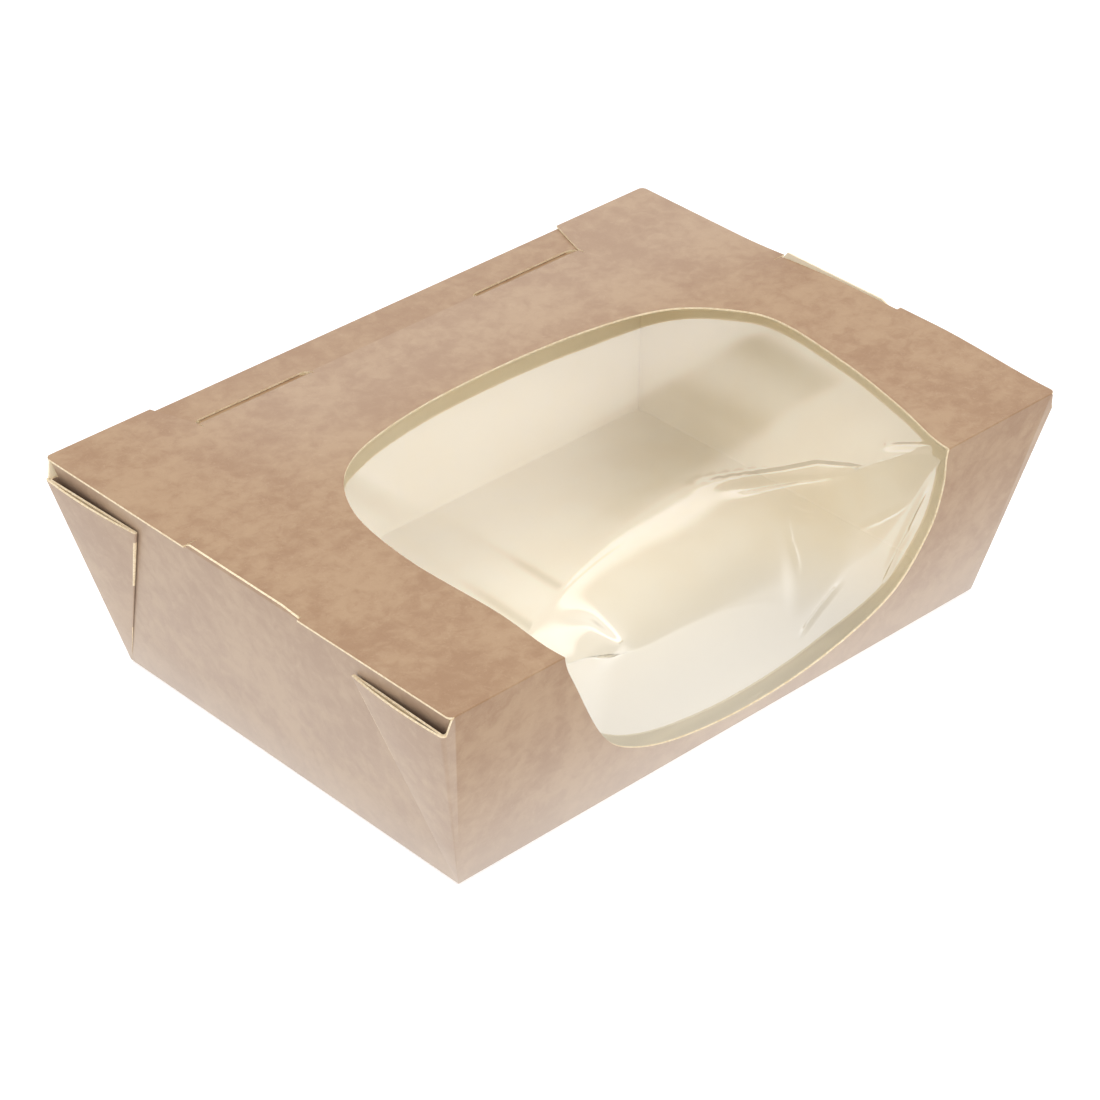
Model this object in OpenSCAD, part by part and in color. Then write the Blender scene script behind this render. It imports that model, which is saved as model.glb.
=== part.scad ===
// Folded kraft takeaway box with a clear film window
// One card blank makes the tray and the lid, and one film patch closes the window.
// The window side faces -Y, the lock is at +Y, and the box stands on z = 0.

/* [Tray] */
// Length over the end walls at the lid
top_length = 191; // [170:1:230]
// Width over the long walls at the lid
top_width = 140; // [125:1:180]
// Length of the base
base_length = 168.5; // [150:0.5:200]
// Width of the base
base_width = 116.5; // [105:0.5:150]
// Height from the base to the top of the lid
height = 57.2; // [45:0.1:80]
// Thickness of the card
card = 0.5; // [0.3:0.05:0.8]
// Space left between two card layers that only rest on each other
layer_gap = 0.1; // [0.05:0.05:0.3]

/* [Webbed corners] */
// Depth of a web's top edge below the top of the lid, at the corner
web_drop = 5; // [3:0.5:12]
// Further fall of that edge on its way to the diagonal fold
web_fall = 1; // [0:0.5:4]
// Length of a web's top edge along the end wall
web_reach = 31; // [15:1:45]
// How far a web springs away from the end wall at the corner
web_spring = 2.8; // [1.8:0.1:5]
// Outward swell of a web's outer layer in the middle of its top edge
web_swell = 0.8; // [0:0.1:2]
// Space between the end wall and a web at the diagonal fold
web_seat = 0.3; // [0.1:0.1:1]

/* [Standing tabs] */
// Length of a tab along the end wall, at its top edge
tab_length = 32; // [15:1:60]
// Place of a tab's middle, towards the back
tab_offset = 1.5; // [-10:0.5:10]
// Length of the slope at the tab's front end
tab_front_slope = 5.5; // [1:0.5:12]
// Length of the slope at the tab's back end
tab_back_slope = 1.3; // [0.5:0.1:5]
// Height of the left tab above the lid
left_tab_rise = 0.7; // [0.2:0.1:4]
// Height of the right tab above the lid
right_tab_rise = 2; // [0.2:0.1:4]

/* [Lid] */
// Overhang of the lid past each end wall
lid_overhang = 0.5; // [0:0.1:2]
// Radius of the lid's corners
lid_corner = 1.5; // [0.5:0.1:4]
// Space between the lid's notch and the tab inside it
notch_space = 0.3; // [0.2:0.1:1]
// Length of the short cut at the back end of a notch
notch_cut = 2.5; // [1:0.5:5]
// Width of a knife cut
knife = 0.25; // [0.15:0.05:0.5]

/* [Lock] */
// Depth of the flange folded in from the back wall
flange_depth = 24; // [20:1:35]
// Space between the flange and each end wall
flange_end_space = 1; // [0.3:0.1:3]
// Width cut off along each end of the flange
flange_chamfer = 3; // [1:0.5:8]
// Distance from the back fold to the lid's middle edge
lock_depth = 12.4; // [9:0.2:18]
// Width of a tongue
tongue_width = 34.6; // [20:0.2:45]
// Distance between the middles of the two tongues
tongue_pitch = 87.4; // [60:0.2:110]
// Length that a tongue reaches in under the flange
tongue_tuck = 5; // [3:0.5:7]
// Radius of the corners at a tongue's tip
tongue_tip_radius = 2.5; // [1:0.1:5]
// Distance in front of the lid's middle edge at which a tongue starts to bend down
ramp_lead = 1.3; // [0.5:0.1:4]
// Length over which a tongue bends down through its slit
ramp_run = 3; // [2:0.1:6]
// Radius of a slit's curved ends
slit_curve = 2.2; // [1:0.1:4]
// Space round a tongue in its slit
slit_space = 0.25; // [0.2:0.05:0.5]
// Further space in front of a tongue in its slit
slit_front_space = 0.3; // [0.1:0.05:1]
// Sideways run of the slanted cut behind each tongue
side_cut_run = 4.2; // [2:0.2:8]
// Length of the nick where the slanted cut ends
side_nick = 2.4; // [1:0.2:4]

/* [Window] */
// Reach of the window over the lid, from the front fold
window_lid_reach = 98.5; // [60:0.5:110]
// Reach of the window down the front wall, from the front fold
window_wall_reach = 54; // [30:0.5:55]
// Widest part of the window
window_width = 134; // [90:1:150]
// Place of the window's middle, towards the right
window_offset = 3; // [-8:0.5:8]

/* [Film] */
// Thickness of the film
film = 0.1; // [0.05:0.05:0.2]
// Thickness of the glue between film and card
glue = 0.02; // [0.01:0.01:0.1]
// Width of the glued margin beside the window and behind it
film_margin = 8; // [4:1:10]
// Width of the glued margin below the window
film_foot = 2.5; // [2:0.5:4]
// Distance from the front fold at which the film leaves the card
film_round = 28; // [12:1:40]
// Half of the seam between the lid's film and the wall's film
film_seam = 0.3; // [0.2:0.05:0.5]

/* [Hidden] */
kraft = [0.77, 0.65, 0.53];
clear_film = [0.93, 0.93, 0.90, 0.35];

// Levels of the layers, from the top down
lid_under = height - card;
rim_z = lid_under - layer_gap;
flange_under = rim_z - card;
tongue_top = flange_under - layer_gap;

// Lean of the walls: run of the outer face over the full height
long_run = (top_width - base_width) / 2;
end_run = (top_length - base_length) / 2;
long_lean = atan2(long_run, height);
end_lean = atan2(end_run, height);

// Outer half width and half length of the tray at a level
function half_width_at(z) = base_width / 2 + long_run * z / height;
function half_length_at(z) = base_length / 2 + end_run * z / height;
// Length along a leaning wall from its foot up to a level
function up_long(z) = z / cos(long_lean);
function up_end(z) = z / cos(end_lean);

// Top edge of a web at the corner and at the diagonal fold
web_corner_z = height - web_drop;
web_fold_z = web_corner_z - web_fall;
web_steps = 10;
// Overlap that joins two layers at a fold
fold_bite = card / 10;
// How far a cutting shape reaches past what it cuts
overshoot = 1;
// Step of the angle along a rounded corner
arc_step = 15;

// A notch starts past the foot of the tab's slopes
tab_front = tab_offset - tab_length / 2;
tab_back = tab_offset + tab_length / 2;
notch_front = tab_front - tab_front_slope - notch_space;
notch_back = tab_back + tab_back_slope + notch_space;
tab_inner_x = half_length_at(height) - card / cos(end_lean);
notch_x = tab_inner_x - notch_space;

// The lock, from the back fold forwards
lid_half_length = top_length / 2 + lid_overhang;
back_fold_y = top_width / 2;
lock_y = back_fold_y - lock_depth;
ramp_start_y = lock_y - ramp_lead;
ramp_end_y = ramp_start_y + ramp_run;
strip_front_y = ramp_end_y + slit_space;
slit_front_y = ramp_start_y - slit_front_space;
tongue_end_y = strip_front_y + tongue_tuck;
tongue_half = tongue_width / 2;
side_cut_x = tongue_pitch / 2 + tongue_half + knife;

// Window outline on the unfolded card: x along the fold as a share of half the
// width, y as a share of the reach on its own side of the fold
WINDOW_SHAPE = [
    [-0.990, 0.00], [-0.980, 0.22], [-0.990, 0.52], [-0.925, 0.76], [-0.735, 0.915],
    [-0.38, 0.985], [0.08, 1.00], [0.50, 0.975], [0.795, 0.91], [0.955, 0.775],
    [1.000, 0.65], [0.965, 0.44], [0.895, 0.19], [0.830, 0.00],
    [0.860, -0.24], [0.845, -0.50], [0.715, -0.79], [0.40, -0.955], [0.04, -1.00],
    [-0.31, -0.945], [-0.56, -0.82], [-0.72, -0.635], [-0.90, -0.24]
];
window_steps = 6;
// Place in that list where the window crosses the fold on the right
RIGHT_CROSSING = 13;

// Smooth closed curve through a list of points, each stretch in equal steps
function curve_point(a, b, c, d, t) =
    0.5 * (2 * b + (c - a) * t + (2 * a - 5 * b + 4 * c - d) * t * t
    + (3 * b - a - 3 * c + d) * t * t * t);
function closed_curve(p, steps) = [
    for (i = [0 : len(p) - 1], j = [0 : steps - 1])
        curve_point(
            p[(i + len(p) - 1) % len(p)], p[i], p[(i + 1) % len(p)], p[(i + 2) % len(p)],
            j / steps)
];
function window_scale(p) = [
    window_offset + p[0] * window_width / 2,
    p[1] * (p[1] > 0 ? window_lid_reach : window_wall_reach)
];
window_outline = [for (p = closed_curve(WINDOW_SHAPE, window_steps)) window_scale(p)];

// Film patch, and the part of the front fold that the window crosses
film_left = window_offset - window_width / 2 - film_margin;
film_right = window_offset + window_width / 2 + film_margin;
fold_left = window_offset + WINDOW_SHAPE[0][0] * window_width / 2;
fold_right = window_offset + WINDOW_SHAPE[RIGHT_CROSSING][0] * window_width / 2;
fold_middle = (fold_left + fold_right) / 2;
fold_half = (fold_right - fold_left) / 2;
film_columns = 24;
film_rows = 12;
// Above 1, the film's rows lie closer together near the fold
film_crowding = 1.5;

// The film leaves the lid and the wall in two equal parabolas that meet square
// on the plane halfway between them
half_corner = (90 - long_lean) / 2;
meet_slope = 1 / tan(half_corner);
meet_share = meet_slope / (meet_slope + 2 * tan(half_corner));
function film_leave(x) =
    abs(x - fold_middle) < fold_half
        ? film_round * sqrt(1 - pow((x - fold_middle) / fold_half, 2))
        : 0;
function film_sag(leave, v) =
    v < leave ? meet_slope * pow(leave - v, 2) / (2 * leave * (1 - meet_share)) : 0;

// One card panel that leans outwards: its outline is drawn on its outer face,
// x along the wall and y up the wall, and it stands over the -Y edge of the base
module leaning_panel(foot_distance, lean) {
    translate([0, -foot_distance, 0])
        rotate([90 + lean, 0, 0])
            translate([0, 0, -card])
                linear_extrude(card) children();
}

module each_corner() {
    for (left = [0, 1], back = [0, 1])
        mirror([left, 0, 0]) mirror([0, back, 0]) children();
}

// Long wall with the slivers that turn into the webs at both ends
module long_wall_outline() {
    foot = base_length / 2;
    web = half_length_at(web_corner_z) + web_spring;
    rim = half_length_at(rim_z);
    polygon([
        [-foot, 0], [foot, 0],
        [web, up_long(web_corner_z)], [rim, up_long(rim_z)],
        [-rim, up_long(rim_z)], [-web, up_long(web_corner_z)]
    ]);
}

module front_wall() {
    fold_height = up_long(height);
    leaning_panel(base_width / 2, long_lean)
        difference() {
            long_wall_outline();
            translate([0, fold_height]) polygon(window_outline);
        }
}

module back_wall() {
    rotate([0, 0, 180])
        leaning_panel(base_width / 2, long_lean) long_wall_outline();
}

// End wall with the tab that stands through the lid's notch
module end_wall_outline(rise, side) {
    foot = base_width / 2;
    rim = half_width_at(rim_z);
    rim_up = up_end(rim_z);
    tab_up = up_end(height + rise);
    front_foot = tab_front - tab_front_slope;
    back_foot = tab_back + tab_back_slope;
    mirror([side > 0 ? 0 : 1, 0])
        polygon([
            [-foot, 0], [foot, 0], [rim, rim_up],
            [back_foot, rim_up], [back_foot, up_end(height)], [tab_back, tab_up],
            [tab_front, tab_up], [front_foot, up_end(height)], [front_foot, rim_up],
            [-rim, rim_up]
        ]);
}

module end_wall(side, rise) {
    rotate([0, 0, 90 * side])
        leaning_panel(base_length / 2, end_lean) end_wall_outline(rise, side);
}

// Point on a web's top edge in the +X +Y corner, at a share of its length from
// the corner, standing off the end wall by the given distance
function web_point(share, off) =
    let(z = web_corner_z - web_fall * share)
    [half_length_at(z) + off, half_width_at(web_corner_z) - web_reach * share, z];

// One layer of a web: a cone that opens from the foot of the corner, with its
// top edge bent from the corner to the diagonal fold
module web_layer(corner_off, fold_off, swell, inset) {
    foot = [base_length / 2 - inset, base_width / 2 - inset, 0];
    outer = [
        for (i = [0 : web_steps])
            let(s = i / web_steps)
            web_point(s, corner_off + (fold_off - corner_off) * s + swell * 4 * s * (1 - s))
            - [0, inset * (1 - s), 0]
    ];
    inner = [for (p = outer) p - [card, 0, 0]];
    n = web_steps + 1;
    polyhedron(
        points = concat([foot, foot - [card, 0, 0]], outer, inner),
        faces = concat(
            [for (i = [0 : web_steps - 1]) [0, 2 + i + 1, 2 + i]],
            [for (i = [0 : web_steps - 1]) [1, 2 + n + i, 2 + n + i + 1]],
            [for (i = [0 : web_steps - 1]) [2 + i, 2 + i + 1, 2 + n + i + 1, 2 + n + i]],
            [[0, 2, 2 + n, 1], [0, 1, 2 + 2 * n - 1, 2 + n - 1]]
        )
    );
}

module web() {
    fold_off = web_seat + 2 * card;
    web_layer(web_spring, fold_off, web_swell, 0);
    web_layer(web_spring - card - fold_bite, fold_off - card + fold_bite, 0, card / 2);
}

// Slit or tongue outline round its own middle line, grown by a space
module tongue_outline(space) {
    shoulder = [
        for (a = [0 : arc_step : 90])
            [
                tongue_half - slit_curve * (1 - cos(a)) + space,
                strip_front_y - slit_space - slit_curve * (1 - sin(a)) + space
            ]
    ];
    right = concat([[tongue_half + space, slit_front_y - space]], shoulder);
    left = [for (i = [len(right) - 1 : -1 : 0]) [-right[i][0], right[i][1]]];
    polygon(concat(right, left));
}

module flange() {
    back = half_width_at(rim_z);
    reach = half_length_at(rim_z) - card - flange_end_space;
    translate([0, 0, flange_under])
        linear_extrude(card)
            difference() {
                polygon([
                    [-reach, back], [reach, back], [reach, back - flange_chamfer],
                    [reach - flange_chamfer, back - flange_depth],
                    [flange_chamfer - reach, back - flange_depth],
                    [-reach, back - flange_chamfer]
                ]);
                for (side = [-1, 1])
                    translate([side * tongue_pitch / 2, 0]) tongue_outline(slit_space);
            }
}

module tray() {
    color(kraft)
        union() {
            translate([-base_length / 2, -base_width / 2, 0])
                cube([base_length, base_width, card]);
            front_wall();
            back_wall();
            end_wall(-1, left_tab_rise);
            end_wall(1, right_tab_rise);
            flange();
            each_corner() web();
        }
}

// Lid panel with rounded corners, seen from above
module lid_blank() {
    reach = lid_half_length - lid_corner;
    front = top_width / 2 - lid_corner;
    polygon(concat(
        [for (a = [180 : arc_step : 270]) [-reach + lid_corner * cos(a), -front + lid_corner * sin(a)]],
        [for (a = [270 : arc_step : 360]) [reach + lid_corner * cos(a), -front + lid_corner * sin(a)]],
        [for (a = [0 : arc_step : 90]) [reach + lid_corner * cos(a), front + lid_corner * sin(a)]],
        [for (a = [90 : arc_step : 180]) [-reach + lid_corner * cos(a), front + lid_corner * sin(a)]]
    ));
}

// Opening in the lid's end for a standing tab, with the short knife cut behind it
module end_notch() {
    over = lid_half_length + overshoot;
    polygon([
        [notch_x, notch_front], [over, notch_front], [over, notch_back],
        [notch_x - notch_cut, notch_back], [notch_x - notch_cut, notch_back - knife],
        [notch_x, notch_back - knife]
    ]);
}

// Everything that the lid leaves open at the back between its corner pieces
module lock_opening() {
    over = back_fold_y + overshoot;
    polygon([
        [-side_cut_x, lock_y], [side_cut_x, lock_y],
        [side_cut_x + side_cut_run * (over - lock_y) / lock_depth, over],
        [-side_cut_x - side_cut_run * (over - lock_y) / lock_depth, over]
    ]);
    for (side = [-1, 1]) {
        translate([side * side_cut_x - (side > 0 ? knife : 0), lock_y - side_nick])
            square([knife, side_nick + knife]);
        translate([side * tongue_pitch / 2 - tongue_half, ramp_start_y])
            square([tongue_width, lock_y - ramp_start_y + knife]);
    }
}

// Tongue: it leaves the lid, bends down through its slit and lies under the flange
module tongue() {
    drop = height - tongue_top;
    root_y = ramp_start_y - card;
    intersection() {
        rotate([90, 0, 90])
            linear_extrude(tongue_width, center = true)
                polygon([
                    [root_y, lid_under], [ramp_start_y, lid_under],
                    [ramp_end_y, lid_under - drop], [tongue_end_y, lid_under - drop],
                    [tongue_end_y, tongue_top], [ramp_end_y, tongue_top],
                    [ramp_start_y, height], [root_y, height]
                ]);
        translate([0, 0, lid_under - drop - overshoot])
            linear_extrude(drop + card + 2 * overshoot)
                union() {
                    tongue_outline(0);
                    translate([0, ramp_end_y - overshoot])
                        tongue_tip(
                            tongue_half - slit_curve, tongue_end_y - ramp_end_y + overshoot);
                }
    }
}

// Rounded end of a tongue, drawn forwards from its own root line
module tongue_tip(half, reach) {
    r = tongue_tip_radius;
    polygon(concat(
        [[-half, 0], [half, 0]],
        [for (a = [0 : arc_step : 90]) [half - r + r * cos(a), reach - r + r * sin(a)]],
        [for (a = [90 : arc_step : 180]) [-half + r + r * cos(a), reach - r + r * sin(a)]]
    ));
}

module lid() {
    color(kraft)
        union() {
            translate([0, 0, lid_under])
                linear_extrude(card)
                    difference() {
                        lid_blank();
                        translate([0, -top_width / 2]) polygon(window_outline);
                        end_notch();
                        mirror([1, 0]) end_notch();
                        lock_opening();
                    }
            for (side = [-1, 1])
                translate([side * tongue_pitch / 2, 0, 0]) tongue();
        }
}

// Film on its own side of the fold: x along the fold, y away from it over the
// inside of the card, z into the box
module film_sheet(reach) {
    columns = film_columns;
    rows = film_rows;
    face = [
        for (i = [0 : columns])
            let(x = film_left + (film_right - film_left) * i / columns)
            let(leave = film_leave(x), start = leave * meet_share + film_seam)
            for (j = [0 : rows])
                let(v = start + (reach - start) * pow(j / rows, film_crowding))
                [x, v, glue + film_sag(leave, v)]
    ];
    back = [for (p = face) p + [0, 0, film]];
    row = rows + 1;
    count = len(face);
    polyhedron(
        points = concat(face, back),
        faces = concat(
            [for (i = [0 : columns - 1], j = [0 : rows - 1])
                [i * row + j, i * row + j + 1, (i + 1) * row + j]],
            [for (i = [0 : columns - 1], j = [0 : rows - 1])
                [i * row + j + 1, (i + 1) * row + j + 1, (i + 1) * row + j]],
            [for (i = [0 : columns - 1], j = [0 : rows - 1])
                [count + i * row + j, count + (i + 1) * row + j, count + i * row + j + 1]],
            [for (i = [0 : columns - 1], j = [0 : rows - 1])
                [count + i * row + j + 1, count + (i + 1) * row + j, count + (i + 1) * row + j + 1]],
            [for (i = [0 : columns - 1])
                [i * row, (i + 1) * row, count + (i + 1) * row, count + i * row]],
            [for (i = [0 : columns - 1])
                [i * row + rows, count + i * row + rows, count + (i + 1) * row + rows,
                 (i + 1) * row + rows]],
            [for (j = [0 : rows - 1]) [j, count + j, count + j + 1, j + 1]],
            [for (j = [0 : rows - 1])
                [columns * row + j, columns * row + j + 1, count + columns * row + j + 1,
                 count + columns * row + j]]
        )
    );
}

module window_film_lid() {
    corner_y = -half_width_at(lid_under) + card / cos(long_lean);
    color(clear_film)
        translate([0, corner_y, lid_under])
            mirror([0, 0, 1]) film_sheet(window_lid_reach + film_margin);
}

module window_film_front() {
    corner_y = -half_width_at(lid_under) + card / cos(long_lean);
    color(clear_film)
        translate([0, corner_y, lid_under])
            rotate([long_lean - 90, 0, 0])
                film_sheet(window_wall_reach + film_foot);
}

tray();
lid();
window_film_front();
window_film_lid();
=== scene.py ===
"""Folded kraft takeaway box with a clear film window: its looks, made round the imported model.

Sizes are in millimetres until a mesh is made. The window side faces -Y, the lock is at +Y,
and the box stands on z = 0. The card is one sheet, kraft brown outside and cream inside. It is
described by its brown face alone, and then gets its thickness towards the cream side.
"""

import logging
import math
from collections.abc import Callable
from dataclasses import dataclass, field
from enum import IntEnum
from functools import reduce

import bpy
import numpy as np
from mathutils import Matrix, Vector
from mathutils.geometry import delaunay_2d_cdt


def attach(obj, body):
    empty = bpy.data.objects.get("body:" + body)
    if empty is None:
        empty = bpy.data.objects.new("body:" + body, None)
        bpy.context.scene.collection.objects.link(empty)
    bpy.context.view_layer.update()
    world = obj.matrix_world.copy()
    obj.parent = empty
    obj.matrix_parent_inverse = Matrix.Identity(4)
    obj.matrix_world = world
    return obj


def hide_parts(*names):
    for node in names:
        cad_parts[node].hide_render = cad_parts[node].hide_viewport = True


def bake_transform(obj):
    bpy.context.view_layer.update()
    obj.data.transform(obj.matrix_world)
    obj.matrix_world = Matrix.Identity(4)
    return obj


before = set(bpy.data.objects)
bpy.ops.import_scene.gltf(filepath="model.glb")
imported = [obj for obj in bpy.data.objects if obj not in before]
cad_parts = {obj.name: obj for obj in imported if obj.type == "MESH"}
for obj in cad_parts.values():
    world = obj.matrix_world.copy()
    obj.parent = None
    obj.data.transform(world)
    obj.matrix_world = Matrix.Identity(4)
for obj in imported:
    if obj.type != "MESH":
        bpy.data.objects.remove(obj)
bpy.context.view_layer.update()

MM = 0.001
TINY = 1e-12
Range = tuple[float, float]
Pairs = tuple[Range, ...]
Placer = Callable[[np.ndarray, np.ndarray | float], np.ndarray]
LOG = logging.getLogger("takeaway_box")


class Side(IntEnum):
    """Which finish a face of the card shows, as its material slot."""

    KRAFT = 0
    CREAM = 1
    CUT = 2


def smoothstep(share: np.ndarray) -> np.ndarray:
    """Soft step 3s^2 - 2s^3 of a share, held to 0..1."""
    s = np.clip(share, 0.0, 1.0)
    return s * s * (3 - 2 * s)


def eased(x: np.ndarray, table: Pairs) -> np.ndarray:
    """Smooth curve through a short table: between two entries the cubic whose slopes come from
    the neighbours; level beyond the ends.

    Args:
        x: places to read, of any shape.
        table: pairs (place, value), places rising.

    Returns:
        Values of the shape of x.
    """
    places, values = np.array(table).T
    slope = np.gradient(values, places)
    i = np.clip(np.searchsorted(places, x) - 1, 0, len(places) - 2)
    run = places[i + 1] - places[i]
    t = np.clip((x - places[i]) / run, 0, 1)
    return (
        (1 + 2 * t) * (1 - t) ** 2 * values[i] + t * (1 - t) ** 2 * run * slope[i]
        + t * t * (3 - 2 * t) * values[i + 1] + t * t * (t - 1) * run * slope[i + 1]
    )


def bend(start: np.ndarray, corner: np.ndarray, end: np.ndarray, shares: np.ndarray) -> np.ndarray:
    """Rounds a corner by the parabola (1-s)^2 start + 2s(1-s) corner + s^2 end.

    Args:
        start: points where the curve leaves the first face, shape (..., 3).
        corner: points where both faces would meet.
        end: points where the curve joins the second face.
        shares: places along the curve, 0 to 1, shape (rows,).

    Returns:
        Points of shape (rows, ..., 3).
    """
    s = shares.reshape((-1,) + (1,) * start.ndim)
    return (1 - s) ** 2 * start + 2 * s * (1 - s) * corner + s * s * end


def joined(*parts: object) -> np.ndarray:
    """Points from their coordinates, each an array or one value for all."""
    return np.stack(np.broadcast_arrays(*parts), -1)


def arc(centre: tuple, radius: float, first: float, last: float, steps: int) -> np.ndarray:
    """Points on a circle from one angle to another, in degrees, both ends included."""
    angle = np.radians(np.linspace(first, last, steps + 1))
    return joined(centre[0] + radius * np.cos(angle), centre[1] + radius * np.sin(angle))


def between(first: np.ndarray, last: np.ndarray, step: float) -> np.ndarray:
    """Points on a straight line at about the given step, without its last point."""
    first, last = np.asarray(first, float), np.asarray(last, float)
    count = max(1, round(float(np.linalg.norm(last - first)) / step))
    share = np.arange(count)[:, None] / count
    return first + (last - first) * share


def stepped(corners: np.ndarray, step: float) -> np.ndarray:
    """Points on the straight lines from corner to corner, as between gives them."""
    return np.concatenate([between(a, b, step) for a, b in zip(corners[:-1], corners[1:])])


def flipped(points: np.ndarray) -> np.ndarray:
    """Flat points mirrored from right to left, in reverse order."""
    return (points * (-1, 1))[::-1]


def closed_curve(points: np.ndarray, steps: int) -> np.ndarray:
    """Smooth closed curve through points: the cubic through each pair whose slope at a point
    is half the way from the point before to the point after.

    Args:
        points: corner points in order, shape (n, 2).
        steps: equal steps in each stretch.

    Returns:
        Points of shape (n * steps, 2), starting at the first point.
    """
    before, after, beyond = np.roll(points, 1, 0), np.roll(points, -1, 0), np.roll(points, -2, 0)
    t = (np.arange(steps) / steps)[None, :, None]
    a, b, c, d = (p[:, None, :] for p in (before, points, after, beyond))
    curve = 0.5 * (
        2 * b + (c - a) * t + (2 * a - 5 * b + 4 * c - d) * t * t + (3 * b - a - 3 * c + d) * t**3
    )
    return curve.reshape(-1, points.shape[1])


def grid_triangles(rows: int, columns: int, flip: bool = False) -> np.ndarray:
    """Two triangles for each cell of a grid of points stored row by row.

    Args:
        rows: number of point rows.
        columns: number of points in a row.
        flip: True turns the faces over.

    Returns:
        Corner numbers, shape (cells * 2, 3).
    """
    index = np.arange(rows * columns).reshape(rows, columns)
    a, b, c, d = index[:-1, :-1], index[:-1, 1:], index[1:, 1:], index[1:, :-1]
    faces = np.concatenate([joined(a, b, c), joined(a, c, d)], 2).reshape(-1, 3)
    return faces[:, ::-1] if flip else faces


def inside(points: np.ndarray, loops: list[np.ndarray]) -> np.ndarray:
    """True for each point that an odd number of the loops' edges has on its right side."""
    start = np.concatenate(loops)
    end = np.concatenate([np.roll(loop, -1, 0) for loop in loops])
    x, y = points[:, :1], points[:, 1:]
    spans = (start[:, 1] > y) != (end[:, 1] > y)
    rise = np.where(end[:, 1] == start[:, 1], 1.0, end[:, 1] - start[:, 1])
    crossing = start[:, 0] + (y - start[:, 1]) * (end[:, 0] - start[:, 0]) / rise
    return (np.sum(spans & (x < crossing), 1) % 2).astype(bool)


def filled_outline(loops: list[np.ndarray], spacing: float) -> tuple[np.ndarray, np.ndarray]:
    """Triangles that fill an outline with holes, with points of a square grid inside.

    Args:
        loops: closed loops of points, the outer one first, each of shape (n, 2).
        spacing: distance between the grid's lines.

    Returns:
        The points, shape (n, 2), and the triangles, shape (m, 3), counter-clockwise.
    """
    border = np.concatenate(loops)
    low, high = border.min(0), border.max(0)
    axes = [np.arange(low[i] + spacing / 2, high[i], spacing) for i in (0, 1)]
    fill = np.stack(np.meshgrid(*axes, indexing="ij"), -1).reshape(-1, 2)
    away = np.linalg.norm(fill[:, None] - border[None], axis=2).min(1) > spacing / 2
    fill = fill[inside(fill, loops) & away]
    ends = np.cumsum([len(loop) for loop in loops])
    following = np.arange(1, len(border) + 1)
    following[ends - 1] = np.concatenate([[0], ends[:-1]])
    edges = joined(np.arange(len(border)), following).tolist()
    points = [Vector(p) for p in np.concatenate([border, fill]).tolist()]
    flat, _, faces, *_ = delaunay_2d_cdt(points, edges, [], 0, 1e-6)
    flat = np.array([p[:] for p in flat])
    faces = np.array(faces)
    faces = faces[inside(flat[faces].mean(1), loops)]
    first, second = flat[faces[:, 1]] - flat[faces[:, 0]], flat[faces[:, 2]] - flat[faces[:, 0]]
    clockwise = first[:, 0] * second[:, 1] < first[:, 1] * second[:, 0]
    faces[clockwise] = faces[clockwise][:, ::-1]
    return flat, faces


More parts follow.
